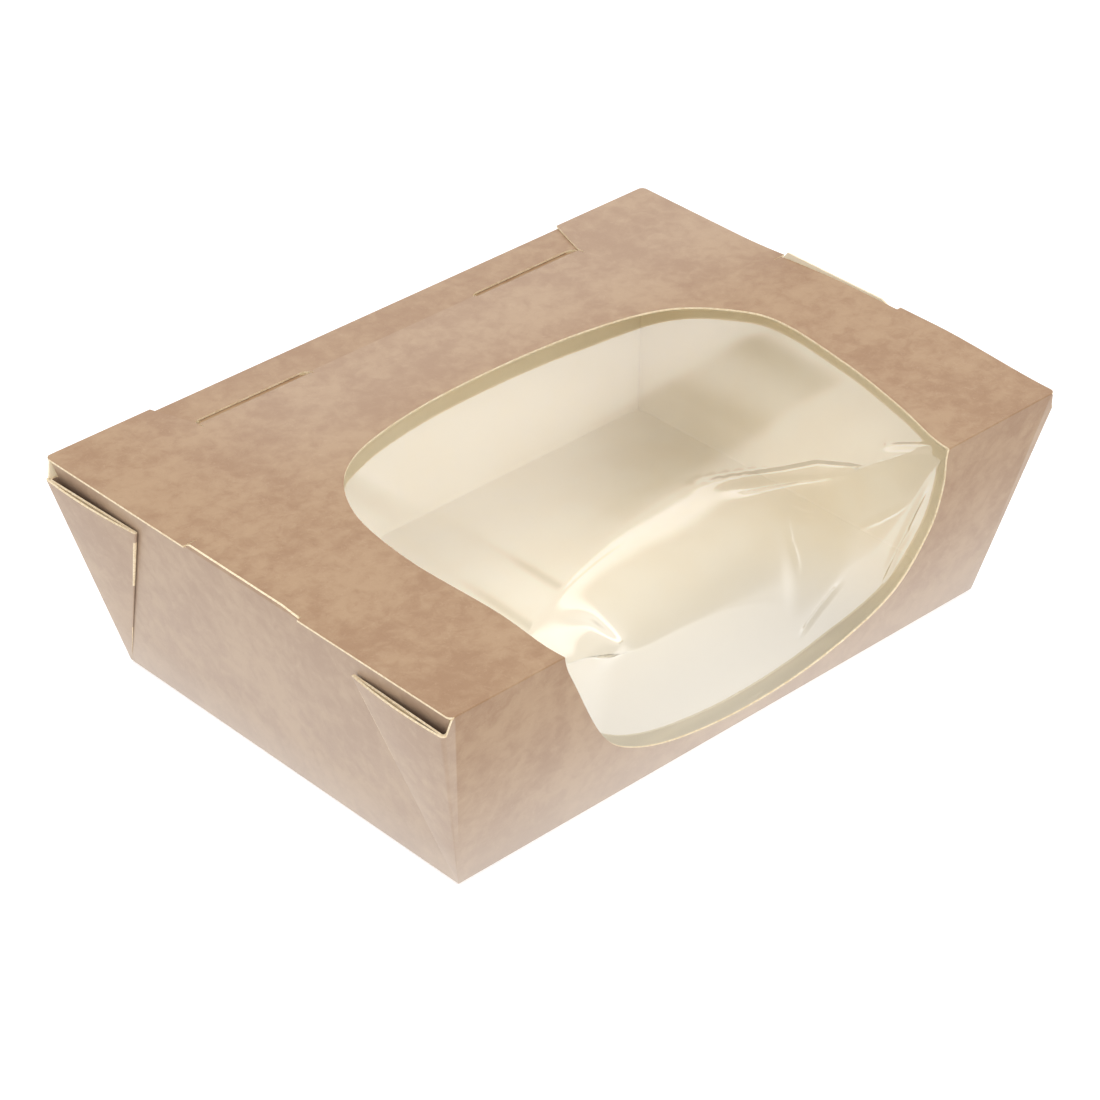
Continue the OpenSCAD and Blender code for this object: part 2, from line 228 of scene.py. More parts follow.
@dataclass
class Sheet:
    """One sheet of card or film, put together from patches of its outer face. Points that
    agree to weld_digits decimals of a millimetre become one."""

    thickness: float
    weld_digits: int = 3
    points: list[np.ndarray] = field(default_factory=list)
    faces: list[np.ndarray] = field(default_factory=list)
    sides: list[np.ndarray] = field(default_factory=list)
    shares: list[np.ndarray] = field(default_factory=list)
    count: int = 0

    def add(self, points: np.ndarray, faces: np.ndarray, side: object = Side.KRAFT,
            share: object = 1.0) -> None:
        """Adds a patch.

        Args:
            points: places of its points in millimetres, shape (n, 3).
            faces: its triangles, facing outwards, shape (m, 3).
            side: finish of the outer face, one for all or one for each triangle.
            share: share of the sheet's thickness, one for all or one for each point.
        """
        self.points.append(points)
        self.faces.append(faces + self.count)
        self.sides.append(np.broadcast_to(np.asarray(side), (len(faces),)))
        self.shares.append(np.broadcast_to(np.asarray(share, float), (len(points),)))
        self.count += len(points)

    def add_grid(self, points: np.ndarray, flip: bool = False, side: object = Side.KRAFT,
                 share: object = 1.0) -> None:
        """Adds a grid of points of shape (rows, columns, 3), as add does."""
        rows, columns = points.shape[:2]
        shares = np.broadcast_to(np.asarray(share, float), (rows, columns)).reshape(-1)
        self.add(points.reshape(-1, 3), grid_triangles(rows, columns, flip), side, shares)

    def welded(self) -> tuple[np.ndarray, np.ndarray, np.ndarray, np.ndarray]:
        """Joins the patches where their points meet, and drops faces with no area.

        Returns:
            Points, triangles, the finish of each triangle and the thickness at each point.
        """
        points = np.concatenate(self.points)
        faces, sides = np.concatenate(self.faces), np.concatenate(self.sides)
        shares = np.concatenate(self.shares)
        _, first, place = np.unique(
            np.round(points, self.weld_digits), axis=0, return_index=True, return_inverse=True
        )
        faces = place.reshape(-1)[faces]
        thick = np.ones(len(first))
        np.minimum.at(thick, place.reshape(-1), shares)
        kept = (
            (faces[:, 0] != faces[:, 1])
            & (faces[:, 1] != faces[:, 2])
            & (faces[:, 2] != faces[:, 0])
        )
        return points[first], faces[kept], sides[kept], thick * self.thickness

    def build(self, name: str, materials: list[bpy.types.Material], smooth_up_to: float = 35.0,
              back: int = Side.CREAM, rim: int = Side.CUT) -> bpy.types.Object:
        """Makes the closed sheet: the outer face, the same face moved in along the points'
        normals by the thickness, and a rim along every free edge.

        Args:
            name: the piece's name.
            materials: the finishes, in the order of Side.
            smooth_up_to: angle in degrees above which an edge stays crisp.
            back: slot of the inner face's finish.
            rim: slot of the rim's finish.

        Returns:
            The new object, at the origin.
        """
        points, faces, sides, thick = self.welded()
        corner = points[faces]
        normal = np.cross(corner[:, 1] - corner[:, 0], corner[:, 2] - corner[:, 0])
        total = np.zeros_like(points)
        length = np.maximum(np.linalg.norm(normal, axis=1), TINY)
        for k in range(3):
            to_next, to_last = (corner[:, other % 3] - corner[:, k] for other in (k + 1, k - 1))
            size = np.linalg.norm(to_next, axis=1) * np.linalg.norm(to_last, axis=1)
            cosine = np.clip(np.sum(to_next * to_last, 1) / np.maximum(size, TINY), -1, 1)
            np.add.at(total, faces[:, k], normal * (np.arccos(cosine) / length)[:, None])
        total /= np.maximum(np.linalg.norm(total, axis=1), TINY)[:, None]
        inner = points - total * thick[:, None]
        count = len(points)
        edges = np.concatenate([faces[:, [k, (k + 1) % 3]] for k in range(3)])
        _, place, uses = np.unique(
            np.sort(edges, 1), axis=0, return_inverse=True, return_counts=True
        )
        free = edges[uses[place.reshape(-1)] == 1]
        a, b = free[:, 0], free[:, 1]
        rim_faces = np.concatenate([joined(b, a, a + count), joined(b, a + count, b + count)])
        everything = np.concatenate([faces, faces[:, ::-1] + count, rim_faces])
        slots = np.concatenate([
            sides,
            np.where(sides == Side.KRAFT, back, sides),
            np.full(len(rim_faces), rim),
        ])
        return make_mesh(
            name, np.concatenate([points, inner]), everything, slots, materials, smooth_up_to
        )


def make_mesh(name: str, points: np.ndarray, faces: np.ndarray, slots: np.ndarray,
              materials: list[bpy.types.Material], smooth_up_to: float) -> bpy.types.Object:
    """Puts arrays into a new mesh object.

    Args:
        name: the piece's name.
        points: places in millimetres, shape (n, 3).
        faces: triangles, shape (m, 3).
        slots: material slot of each triangle.
        materials: the finishes.
        smooth_up_to: angle in degrees above which an edge stays crisp.

    Returns:
        The new object, linked to the scene.
    """
    mesh = bpy.data.meshes.new(name)
    mesh.vertices.add(len(points))
    mesh.vertices.foreach_set("co", (points * MM).astype(np.float32).ravel())
    mesh.loops.add(faces.size)
    mesh.loops.foreach_set("vertex_index", faces.astype(np.int32).ravel())
    mesh.polygons.add(len(faces))
    mesh.polygons.foreach_set("loop_start", np.arange(0, faces.size, 3, dtype=np.int32))
    mesh.polygons.foreach_set("material_index", slots.astype(np.int32))
    mesh.polygons.foreach_set("use_smooth", np.ones(len(faces), bool))
    mesh.update(calc_edges=True)
    mesh.validate()
    mesh.set_sharp_from_angle(angle=math.radians(smooth_up_to))
    piece = bpy.data.objects.new(name, mesh)
    bpy.context.scene.collection.objects.link(piece)
    for material in materials:
        mesh.materials.append(material)
    return piece


@dataclass(frozen=True)
class BoxForm:
    """Driving sizes of the folded box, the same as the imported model's. Row shares place the
    rows of points across a fold."""

    top_length: float = 191.0
    top_width: float = 140.0
    base_length: float = 168.5
    base_width: float = 116.5
    height: float = 57.2
    card: float = 0.5
    layer_gap: float = 0.1
    lid_overhang: float = 0.5
    fold_round: float = 0.75
    rim_space: float = 0.1
    row_share: tuple[float, ...] = (0.0, 0.16, 0.32, 0.48, 0.64, 0.82, 1.0)

    @property
    def rim_z(self) -> float:
        """Level of the tray's rim, just under the lid."""
        return self.height - self.card - self.layer_gap

    @property
    def long_slope(self) -> float:
        """Length along a long wall for each millimetre of height."""
        return math.hypot(1.0, (self.top_width - self.base_width) / 2 / self.height)

    def half_width(self, z: np.ndarray) -> np.ndarray:
        """Outer half width over the long walls at a level."""
        return self.base_width / 2 + (self.top_width - self.base_width) / 2 * z / self.height

    def half_length(self, z: np.ndarray) -> np.ndarray:
        """Outer half length over the end walls at a level."""
        return self.base_length / 2 + (self.top_length - self.base_length) / 2 * z / self.height

    def inset(self, foot: np.ndarray) -> np.ndarray:
        """Points of the base where its fold begins, for points on its outer edge."""
        lost = self.fold_round * 2
        return foot * np.array([1 - lost / self.base_length, 1 - lost / self.base_width, 1.0])


@dataclass(frozen=True)
class WindowForm:
    """Outline of the window on the unfolded card: x along the front fold and v away from it,
    above zero on the lid and below zero on the front wall."""

    lid_reach: float = 98.5
    wall_reach: float = 54.0
    width: float = 134.0
    offset: float = 3.0
    steps: int = 8
    fold_points: int = 12
    clearance: float = 0.05
    shape: Pairs = (
        (-0.990, 0.00), (-0.980, 0.22), (-0.990, 0.52), (-0.925, 0.76), (-0.735, 0.915),
        (-0.38, 0.985), (0.08, 1.00), (0.50, 0.975), (0.795, 0.91), (0.955, 0.775),
        (1.000, 0.65), (0.965, 0.44), (0.895, 0.19), (0.830, 0.00),
        (0.860, -0.24), (0.845, -0.50), (0.715, -0.79), (0.40, -0.955), (0.04, -1.00),
        (-0.31, -0.945), (-0.56, -0.82), (-0.72, -0.635), (-0.90, -0.24),
    )
    right_fold: int = 13

    def curve(self) -> np.ndarray:
        """The whole outline, clockwise from the left end of the fold, shape (n, 2)."""
        share = closed_curve(np.array(self.shape), self.steps)
        reach = np.where(share[:, 1] > 0, self.lid_reach, self.wall_reach)
        return joined(self.offset + share[:, 0] * self.width / 2, share[:, 1] * reach)

    def lid_part(self, v_from: float) -> np.ndarray:
        """The lid's part from the left to the right, cut off at a distance from the fold."""
        curve = self.curve()[: self.right_fold * self.steps + 1]
        return self.cut(curve, v_from)

    def wall_part(self, v_from: float) -> np.ndarray:
        """The front wall's part from the right to the left, as (x, distance below the fold)."""
        curve = self.curve()[self.right_fold * self.steps:]
        curve = np.concatenate([curve, self.curve()[:1]])
        return self.cut(curve * (1, -1), v_from)

    def cut(self, curve: np.ndarray, v_from: float) -> np.ndarray:
        """Keeps the points beyond v_from and adds the two where the curve crosses it."""
        kept = np.flatnonzero(curve[:, 1] > v_from + self.clearance)
        first, last = kept[0], kept[-1]
        ends = []
        for near, far in ((first - 1, first), (last + 1, last)):
            share = (v_from - curve[near, 1]) / (curve[far, 1] - curve[near, 1])
            ends.append(curve[near] + (curve[far] - curve[near]) * share)
        return np.concatenate([ends[:1], curve[first: last + 1], ends[1:]])

    def depth_inside(self, x: np.ndarray, v: np.ndarray) -> np.ndarray:
        """Distance of unfolded places from the outline, above zero inside the window."""
        curve = self.curve()
        place = joined(x, v).reshape(-1, 2)
        nearest = np.full(len(place), np.inf)
        for a, b in zip(curve, np.roll(curve, -1, 0)):
            run = b - a
            share = np.clip((place - a) @ run / (run @ run), 0, 1)[:, None]
            nearest = np.minimum(nearest, np.linalg.norm(place - a - run * share, axis=1))
        return np.where(inside(place, [curve]), nearest, -nearest).reshape(x.shape)

    def edge_x(self, v: np.ndarray) -> tuple[np.ndarray, np.ndarray]:
        """Left and right edge of the window at small distances from the fold."""
        curve, near = self.curve(), self.fold_points
        left = np.roll(curve, near, 0)[: 2 * near]
        middle = self.right_fold * self.steps
        right = curve[middle - near: middle + near][::-1]
        return np.interp(v, left[:, 1], left[:, 0]), np.interp(v, right[:, 1], right[:, 0])


@dataclass(frozen=True)
class WebForm:
    """Doubled web at a corner. Its path at the top is drawn in the plan of one corner as
    (distance off the end wall, run from the corner along the end wall)."""

    drop: float = 5.0
    fall: float = 1.0
    reach: float = 31.0
    spring: float = 2.8
    swell: float = 0.77
    seat: float = 0.3
    corner_round: float = 1.1
    crease_round: float = 0.35
    fold_radius: float = 0.52
    crease_run: float = 1.15
    play: float = 0.05
    corner_steps: int = 8
    outer_points: int = 22
    fold_steps: int = 8
    inner_points: int = 16
    crease_steps: int = 4
    cut_share: Pairs = ((0.02, 0.27), (0.62, 0.95))

    def outer_off(self, share: np.ndarray) -> np.ndarray:
        """Distance of the outer layer's brown face from the end wall."""
        fold = self.seat + 2 * self.fold_radius
        return self.spring + (fold - self.spring) * share + self.swell * 4 * share * (1 - share)

    def inner_off(self, share: np.ndarray, card: float) -> np.ndarray:
        """Distance of the inner layer's brown face from the end wall."""
        start = self.spring - 2 * card - self.play
        return start + (self.seat - start) * share

    def path(self, card: float) -> tuple[np.ndarray, np.ndarray]:
        """The brown face's path from the long wall's end to the end wall's beginning.

        Returns:
            The path, shape (n, 2), and for each step True where it turns at the diagonal fold.
        """
        r, v, fold = self.corner_round, self.crease_round, self.fold_radius
        start_off = float(self.outer_off(np.array(r / self.reach)))
        corner = arc((start_off - r, r), r, -90, 0, self.corner_steps)
        share = np.linspace(r / self.reach, 1, self.outer_points)[1:]
        outer = joined(self.outer_off(share), share * self.reach)
        turn = arc((self.seat + fold, self.reach), fold, 0, 180, self.fold_steps)[1:]
        crease = self.crease_run + v
        share = np.linspace(1, crease / self.reach, self.inner_points)[1:]
        inner = joined(self.inner_off(share, card), share * self.reach)
        first = arc((inner[-1, 0] - v, crease), v, 0, -90, self.crease_steps)[1:]
        second = arc((v, crease), v, -90, -180, self.crease_steps)
        path = np.concatenate([corner, outer, turn, inner, first, second])
        turning = np.zeros(len(path) - 1, bool)
        begin = len(corner) + len(outer) - 1
        turning[begin: begin + len(turn)] = True
        return path, turning


@dataclass(frozen=True)
class LockForm:
    """Tuck lock: two tongues of the lid that pass down through slots in the flange."""

    back_fold: float = 70.0
    depth: float = 12.4
    tongue_width: float = 34.6
    pitch: float = 87.4
    tuck: float = 5.0
    slit_curve: float = 2.2
    slit_space: float = 0.25
    slit_front_space: float = 0.3
    slit_step: float = 3.0
    curve_points: int = 9
    side_cut_run: float = 4.2
    side_nick: float = 2.4
    knife: float = 0.25
    ramp_before: float = 1.3
    ramp_length: float = 3.0
    tip_radius: float = 2.5

    @property
    def edge_y(self) -> float:
        """The lid's edge between the tongues."""
        return self.back_fold - self.depth

    @property
    def ramp_y(self) -> float:
        """Where the tongues begin to bend down."""
        return self.edge_y - self.ramp_before

    @property
    def strip_y(self) -> float:
        """Front edge of the strip that the tongues pass under."""
        return self.ramp_y + self.ramp_length + self.slit_space

    @property
    def side_x(self) -> float:
        """Where the slanted side cut begins."""
        return self.pitch / 2 + self.tongue_width / 2 + self.knife

    def shoulder(self, space: float) -> np.ndarray:
        """Right half of the slot's outline, up to its back edge, for a space round the tongue."""
        half, curve = self.tongue_width / 2, self.slit_curve
        angle = np.radians(np.linspace(0, 90, self.curve_points))
        x = half - curve * (1 - np.cos(angle)) + space
        y = self.strip_y - self.slit_space - curve * (1 - np.sin(angle)) + space
        return joined(x, y)

    def slot(self, side: int) -> np.ndarray:
        """Closed outline of the slot in the flange on one side."""
        shoulder = self.shoulder(self.slit_space)
        half = self.tongue_width / 2 + self.slit_space
        front = self.ramp_y - self.slit_front_space - self.slit_space
        right = np.concatenate([[(half, front)], shoulder])
        left = flipped(right)
        back = between(right[-1], left[0], self.slit_step)[1:]
        fore = between(left[-1], right[0], self.slit_step)[1:]
        return np.concatenate([right, back, left, fore]) + (side * self.pitch / 2, 0)


@dataclass
class TrayCard:
    """The card blank up to the front fold: base, walls, webs, standing tabs and flange."""

    box: BoxForm
    web: WebForm
    window: WindowForm
    lock: LockForm
    tab_length: float = 32.0
    tab_offset: float = 1.5
    tab_front_slope: float = 5.5
    tab_back_slope: float = 1.3
    left_tab_rise: float = 0.7
    right_tab_rise: float = 2.0
    flange_depth: float = 24.0
    flange_end: float = 94.0
    flange_chamfer: float = 3.0
    spacing: float = 4.0
    edge_step: float = 3.0
    tab_step: float = 2.5
    chamfer_step: float = 2.0
    corner_step: float = 1.5
    tab_lean: float = 0.05
    rows: int = 15
    long_columns: int = 49
    short_columns: int = 41
    flange_columns: int = 61

    def __post_init__(self) -> None:
        """Works out the levels of the ring's rows and the web's path."""
        self.path, self.turning = self.web.path(self.box.card)
        self.web_z = self.box.height - self.web.drop
        self.end_z = self.web_z - self.web.fall * self.path[-1, 1] / self.web.reach
        self.sheet = Sheet(self.box.card)

    def ruled(self, foot: np.ndarray, top: np.ndarray) -> np.ndarray:
        """Straight lines from foot to top, with the fold at the base as a small parabola.

        Args:
            foot: points on the base's outer edge, shape (n, 3).
            top: points at the web's level, shape (n, 3).

        Returns:
            Grid of shape (rows, n, 3), from the base upwards.
        """
        box = self.box
        up = (top - foot) / np.linalg.norm(top - foot, axis=1)[:, None]
        start = foot + up * box.fold_round
        curve = bend(box.inset(foot), foot, start, np.array(box.row_share))
        share = (np.arange(1, self.rows + 1) / self.rows)[:, None, None]
        return np.concatenate([curve, start + (top - start) * share])

    def corner(self, right: bool, back: bool) -> None:
        """Adds the web of one corner: a cone from the corner's foot to the path at its top."""
        box, web = self.box, self.web
        off, run = self.path[:, 0], self.path[:, 1]
        z = self.web_z - web.fall * np.clip(run / web.reach, 0, 1)
        top = joined(box.half_length(z) + off, run - box.half_width(self.web_z), z)
        foot = np.broadcast_to((box.base_length / 2, -box.base_width / 2, 0.0), top.shape)
        grid = self.ruled(foot, top)
        level = np.clip(grid[..., 2] / z, 0, 1)
        share = level.mean(1)
        cut = np.zeros(len(share) - 1, bool)
        middle = (share[1:] + share[:-1]) / 2
        for low, high in web.cut_share:
            cut |= (middle > low) & (middle < high)
        side = np.where(cut[:, None] & self.turning[None], Side.CUT, Side.KRAFT)
        side = np.repeat(side.reshape(-1), 2)
        mirror = np.array([1.0 if right else -1.0, -1.0 if back else 1.0, 1.0])
        self.sheet.add_grid(grid * mirror, flip=right == back, side=side, share=level)

    def wall(self, across: np.ndarray, top_z: float, place: Placer, loop_top: np.ndarray,
             ends: Range) -> None:
        """Adds one flat wall with its fold at the base.

        Args:
            across: shares of the half length along the wall, from -1 to 1.
            top_z: level up to which the ring's rows go.
            place: function from (distance along, height) to points in space.
            loop_top: outline above the ring's rows from the right to the left, as
                (distance along, height).
            ends: half lengths of the wall at its foot and at top_z.
        """
        grid = self.ruled(place(across * ends[0], 0.0), place(across * ends[1], top_z))
        fold_rows = len(self.box.row_share)
        self.sheet.add_grid(grid[:fold_rows])
        start_z = grid[fold_rows - 1, 0, 2]
        side_z = grid[fold_rows - 1:, 0, 2]
        half = ends[0] + (ends[1] - ends[0]) * side_z / top_z
        start_half = ends[0] + (ends[1] - ends[0]) * start_z / top_z
        bottom, right_side = joined(across * start_half, start_z), joined(half, side_z)[1:]
        outline = np.concatenate([bottom, right_side, loop_top, flipped(right_side)])
        flat, faces = filled_outline([outline], self.spacing)
        self.sheet.add(place(flat[:, 0], flat[:, 1]), faces)

    def long_wall(self, back: bool) -> None:
        """Adds the front wall with its part of the window, or the back wall with the fold
        and the flange above it."""
        box, web = self.box, self.web
        corner_off = self.path[0, 0]
        ends = (box.base_length / 2, float(box.half_length(self.web_z)) + corner_off)
        across = np.linspace(-1, 1, self.long_columns)
        rim = float(box.half_length(box.rim_z)) - box.rim_space
        top_z = (box.rim_z if back else box.height) - box.fold_round / box.long_slope
        sign = 1.0 if back else -1.0

        def place(along: np.ndarray, z: np.ndarray | float) -> np.ndarray:
            """Points of the long wall."""
            return joined(-sign * along, sign * box.half_width(z), z)

        right_edge = between((ends[1], self.web_z), (rim, top_z), self.corner_step)[1:]
        left_edge = flipped(np.concatenate([right_edge, [(rim, top_z)]]))
        if back:
            top = np.concatenate([[(rim, top_z)], joined(self.flange_x()[::-1], top_z)])
        else:
            below = self.window.wall_part(box.fold_round)
            cut = joined(below[:, 0], box.height - below[:, 1] / box.long_slope)
            top = np.concatenate([
                between((rim, top_z), cut[0], self.edge_step), cut,
                between(cut[-1], (-rim, top_z), self.edge_step)[1:],
            ])
        self.wall(across, self.web_z, place, np.concatenate([right_edge, top, left_edge]), ends)
        if back:
            self.flange(top_z)

    def flange_x(self) -> np.ndarray:
        """Places along the flange's fold, shared by the wall, the fold and the flange."""
        return np.linspace(-self.flange_end, self.flange_end, self.flange_columns)

    def flange(self, top_z: float) -> None:
        """Adds the fold over the back wall and the flange under the lid."""
        box, x = self.box, self.flange_x()
        fold_y = float(box.half_width(box.rim_z))
        start, corner = joined(x, box.half_width(top_z), top_z), joined(x, fold_y, box.rim_z)
        end = corner - np.array([0, box.fold_round, 0])
        self.sheet.add_grid(bend(start, corner, end, np.array(box.row_share)), flip=True)
        depth, c, reach = self.flange_depth, self.flange_chamfer, self.flange_end
        outline = np.concatenate([
            joined(x, fold_y - box.fold_round)[::-1],
            between((-reach, fold_y - c), (c - reach, fold_y - depth), self.chamfer_step),
            between((c - reach, fold_y - depth), (reach - c, fold_y - depth), self.edge_step),
            between((reach - c, fold_y - depth), (reach, fold_y - c), self.chamfer_step),
            [(reach, fold_y - c)],
        ])
        slots = [self.lock.slot(side) for side in (-1, 1)]
        flat, faces = filled_outline([outline] + slots, self.spacing)
        self.sheet.add(joined(*flat.T, box.rim_z), faces)

    def end_wall(self, right: bool) -> None:
        """Adds an end wall with its standing tab."""
        box = self.box
        sign = 1.0 if right else -1.0
        rise = self.right_tab_rise if right else self.left_tab_rise
        gap = self.path[-1, 1]
        ends = (box.base_width / 2, float(box.half_width(self.web_z)) - gap)
        across = np.linspace(-1, 1, self.short_columns)
        rim = float(box.half_width(box.rim_z)) - 2 * box.card

        def place(along: np.ndarray, z: np.ndarray | float) -> np.ndarray:
            """Points of the end wall."""
            return joined(sign * box.half_length(z), sign * along, z)

        front, back = self.tab_offset - self.tab_length / 2, self.tab_offset + self.tab_length / 2
        foot_front, foot_back = front - self.tab_front_slope, back + self.tab_back_slope
        low, top, lid, lean = box.rim_z, box.height + rise, box.height, self.tab_lean
        tab = np.array([
            (foot_back, low), (foot_back - lean, lid), (back, top), (front, top),
            (foot_front + lean, lid), (foot_front, low),
        ])
        if not right:
            tab = flipped(tab)
        points = np.concatenate([
            [(ends[1], self.end_z), (rim, low)], tab, [(-rim, low), (-ends[1], self.end_z)]
        ])
        self.wall(across, self.end_z, place, stepped(points, self.tab_step)[1:], ends)

    def base(self) -> None:
        """Adds the flat base inside its four folds."""
        box = self.box
        x = np.linspace(-1, 1, self.long_columns) * box.base_length / 2
        y = np.linspace(-1, 1, self.short_columns) * box.base_width / 2
        self.sheet.add_grid(box.inset(joined(*np.meshgrid(x, y), 0.0)), flip=True)

    def build(self, materials: list[bpy.types.Material]) -> bpy.types.Object:
        """Makes the whole tray and lets it stand for its node."""
        self.base()
        for back in (False, True):
            self.long_wall(back)
            for right in (False, True):
                self.corner(right, back)
        for right in (False, True):
            self.end_wall(right)
        piece = self.sheet.build("tray_card", materials)
        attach(piece, "tray")
        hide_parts("tray")
        return piece


@dataclass
class LidCard:
    """The lid panel with its window, end notches, side cuts and tongues. The panel springs up
    a little between the lock and the front fold, more towards its right end."""

    box: BoxForm
    window: WindowForm
    lock: LockForm
    corner_radius: float = 1.5
    notch_x: float = 94.69
    notch_front: float = -20.3
    notch_back: float = 19.1
    notch_cut: float = 2.5
    bow: float = 2.0
    bow_rise: float = 39.0
    bow_top: float = -5.0
    bow_fall: float = 40.0
    spacing: float = 3.0
    notch_step: float = 2.5
    corner_steps: int = 6
    tongue_rows: int = 9
    tongue_columns: int = 15

    def __post_init__(self) -> None:
        """Works out the lid's half length and its depth below the top."""
        self.half = self.box.top_length / 2 + self.box.lid_overhang
        self.front = -self.box.top_width / 2
        self.sheet = Sheet(self.box.card)

    def height_at(self, x: np.ndarray, y: np.ndarray) -> np.ndarray:
        """Level of the lid's top: it rises softly from the front fold and falls again from
        bow_top on, in proportion to x from the left end."""
        rise = smoothstep((y - self.front) / self.bow_rise)
        rise = rise * (1 - smoothstep((y - self.bow_top) / self.bow_fall))
        share = np.clip((x + self.half) / (2 * self.half), 0, 1)
        return self.box.height + self.bow * rise * share

    def right_end(self) -> np.ndarray:
        """Outline of the right end from the front corner to the lock's side cut."""
        r, half = self.corner_radius, self.half
        lock, over = self.lock, self.box.top_width / 2
        knife = lock.knife
        start = self.front + self.box.fold_round
        first = math.degrees(math.asin((start - (self.front + r)) / r))
        corner = arc((half - r, self.front + r), r, first, 0, self.corner_steps)
        cut_x = lock.side_x + lock.side_cut_run
        back = arc((half - r, over - r), r, 0, 90, self.corner_steps)
        notch = np.array([
            (half, self.notch_front), (self.notch_x, self.notch_front),
            (self.notch_x, self.notch_back - knife),
            (self.notch_x - self.notch_cut, self.notch_back - knife),
            (self.notch_x - self.notch_cut, self.notch_back), (half, self.notch_back),
        ])
        nick_y = lock.edge_y - lock.side_nick
        lock_side = np.array([
            (cut_x, over), (lock.side_x, lock.edge_y), (lock.side_x, nick_y),
            (lock.side_x - knife, nick_y), (lock.side_x - knife, lock.ramp_y),
        ])
        wide, fine = self.spacing, self.notch_step
        return np.concatenate([
            corner[:-1], between(corner[-1], notch[0], wide), stepped(notch, fine),
            between(notch[-1], back[0], wide), back[:-1],
            between(back[-1], lock_side[0], wide), stepped(lock_side, fine),
        ])

    def panel(self) -> None:
        """Adds the flat panel, moved up by the bow."""
        lock = self.lock
        right = self.right_end()
        left = flipped(right)
        half_tongue, middle = lock.tongue_width / 2, lock.pitch / 2
        behind = np.array([
            (middle + half_tongue, lock.ramp_y), (middle - half_tongue, lock.ramp_y),
            (middle - half_tongue, lock.edge_y), (half_tongue - middle, lock.edge_y),
            (half_tongue - middle, lock.ramp_y), (-middle - half_tongue, lock.ramp_y),
        ])
        back = stepped(behind, lock.tongue_width / (self.tongue_columns - 1))
        window = self.window.lid_part(self.box.fold_round) + (0, self.front)
        outline = np.concatenate([
            between(left[-1], window[0], self.spacing)[1:], window,
            between(window[-1], right[0], self.spacing)[1:], right, back, behind[-1:], left,
        ])
        flat, faces = filled_outline([outline], self.spacing)
        self.sheet.add(joined(*flat.T, self.height_at(*flat.T)), faces)

    def tongue(self, side: int) -> None:
        """Adds one tongue: a profile of (y, z) along its length, as wide at each place as the
        slot's outline and rounded at its tip."""
        lock, box = self.lock, self.box
        top = box.height
        drop = box.height - (box.rim_z - box.card - box.layer_gap)
        s = np.linspace(0, 1, self.tongue_rows)
        ramp = joined(lock.ramp_y + lock.ramp_length * s, top - drop * smoothstep(s))
        tip = np.linspace(0, 1, self.tongue_rows + 1)[1:]
        end_y = lock.strip_y + lock.tuck
        flat = joined(ramp[-1, 0] + (end_y - ramp[-1, 0]) * tip, top - drop)
        profile = np.concatenate([ramp, flat])
        shoulder = lock.shoulder(0.0)
        half = np.interp(profile[:, 0], shoulder[:, 1], shoulder[:, 0])
        from_tip = np.clip(profile[:, 0] - (end_y - lock.tip_radius), 0, lock.tip_radius)
        half -= lock.tip_radius - np.sqrt(np.maximum(lock.tip_radius**2 - from_tip**2, 0))
        across = np.linspace(-1, 1, self.tongue_columns)
        x = side * lock.pitch / 2 + across[None] * half[:, None]
        self.sheet.add_grid(joined(x, profile[:, :1], profile[:, 1:]))

    def build(self, materials: list[bpy.types.Material]) -> bpy.types.Object:
        """Makes the lid and lets it stand for its node."""
        self.panel()
        for side in (-1, 1):
            self.tongue(side)
        piece = self.sheet.build("lid_card", materials)
        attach(piece, "lid")
        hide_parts("lid")
        return piece


@dataclass
class FrontFold:
    """The rounded front fold on both sides of the window."""

    box: BoxForm
    window: WindowForm
    lid: LidCard
    lap: float = 0.35
    nick_x: float = 94.7
    rows: int = 9
    columns: int = 25

    def build(self, materials: list[bpy.types.Material]) -> bpy.types.Object:
        """Makes both stretches: flat, then a parabola round the fold, then flat again. The
        flat laps give the ends the neighbours' normals."""
        box, sheet = self.box, Sheet(self.box.card)
        reach, fold_y, top = box.fold_round, -box.top_width / 2, box.height
        shares = np.linspace(0, 1, self.rows)
        down = np.array([0, (box.top_width - box.base_width) / 2 / box.height, -1.0])
        down = down / np.linalg.norm(down)
        corner = np.array([0, fold_y, top])
        flat_end, lid_end = corner + down * reach, corner + np.array([0, reach, 0])
        short = reach - self.lap
        curve = bend(corner + down * short, corner, corner + np.array([0, short, 0]), shares)
        profile = np.concatenate([[flat_end], curve, [lid_end]])
        along = np.concatenate([[-reach], np.linspace(-1, 1, self.rows) * short, [reach]])
        left, right = self.window.edge_x(along)
        r, half = self.lid.corner_radius, self.lid.half
        on_lid = half - r + np.sqrt(np.maximum(r * r - (along - r) ** 2, 0))
        rim = box.half_length(box.rim_z) - box.rim_space
        on_wall = self.nick_x + (rim - self.nick_x) * -along / reach
        end = np.where(along > 0, np.maximum(on_lid, self.nick_x), on_wall)
        share = np.linspace(0, 1, self.columns)
        for first, last in ((-end, left), (right, end)):
            x = first[:, None] + (last - first)[:, None] * share
            sheet.add_grid(joined(x, profile[:, 1:2], profile[:, 2:]))
        piece = sheet.build("front_fold", materials)
        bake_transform(piece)
        return piece


